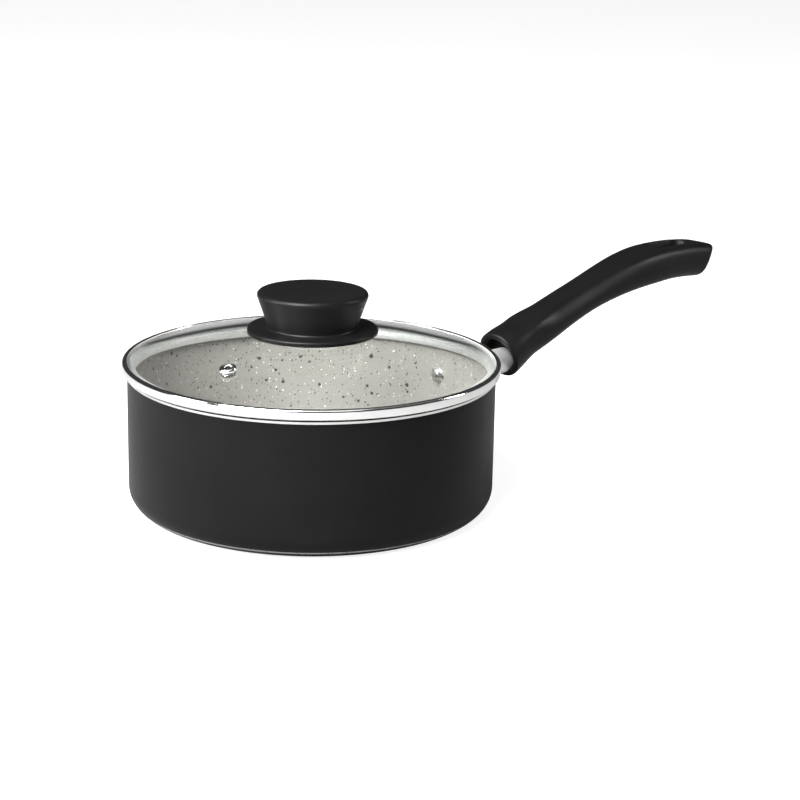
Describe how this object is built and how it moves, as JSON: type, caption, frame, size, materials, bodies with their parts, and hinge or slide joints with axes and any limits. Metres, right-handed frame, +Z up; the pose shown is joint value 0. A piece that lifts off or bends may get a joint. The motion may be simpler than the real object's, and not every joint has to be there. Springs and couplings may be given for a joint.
{
  "type": "saucepan with glass lid",
  "caption": "Deep round saucepan with a long curved moulded handle and a domed glass lid that has a steel rim, a steam vent and a wide tapered knob.",
  "frame": {"origin": "centre of the underside of the pan's base", "axes": "+Z up along the pan's axis, +X along the handle from the pan's axis to the tip"},
  "size_m": [0.3989, 0.1848, 0.107],
  "materials": {
    "coated_aluminium": "satin black outside, speckled grey non-stick coating inside, bare turned rim",
    "polished_aluminium": "polished",
    "plain_steel": "plain zinc-grey",
    "polished_steel": "polished stainless",
    "black_phenolic": "satin moulded phenolic",
    "tempered_glass": "clear",
    "silicone": "matte, translucent white",
    "brass": "plain"
  },
  "bodies": {
    "pan": {"pan_body": "coated_aluminium", "handle_rivet": "polished_aluminium", "handle_bracket": "plain_steel", "flame_guard": "polished_steel", "anchor_nut": "plain_steel", "handle_grip": "black_phenolic", "handle_lock_washer": "plain_steel", "handle_screw": "plain_steel"},
    "lid": {"lid_glass": "tempered_glass", "lid_rim_band": "polished_steel", "vent_eyelet": "polished_steel", "vent_gasket": "silicone", "knob_flange": "black_phenolic", "flange_gasket": "silicone", "knob": "black_phenolic", "knob_insert": "brass", "knob_gasket": "silicone", "knob_washer": "plain_steel", "knob_screw": "plain_steel"}
  },
  "joints": [
    {"name": "lid_lift", "type": "slide", "parent": "pan", "child": "lid", "axis": [0, 0, 1], "range_m": [0, 0.11]}
  ]
}
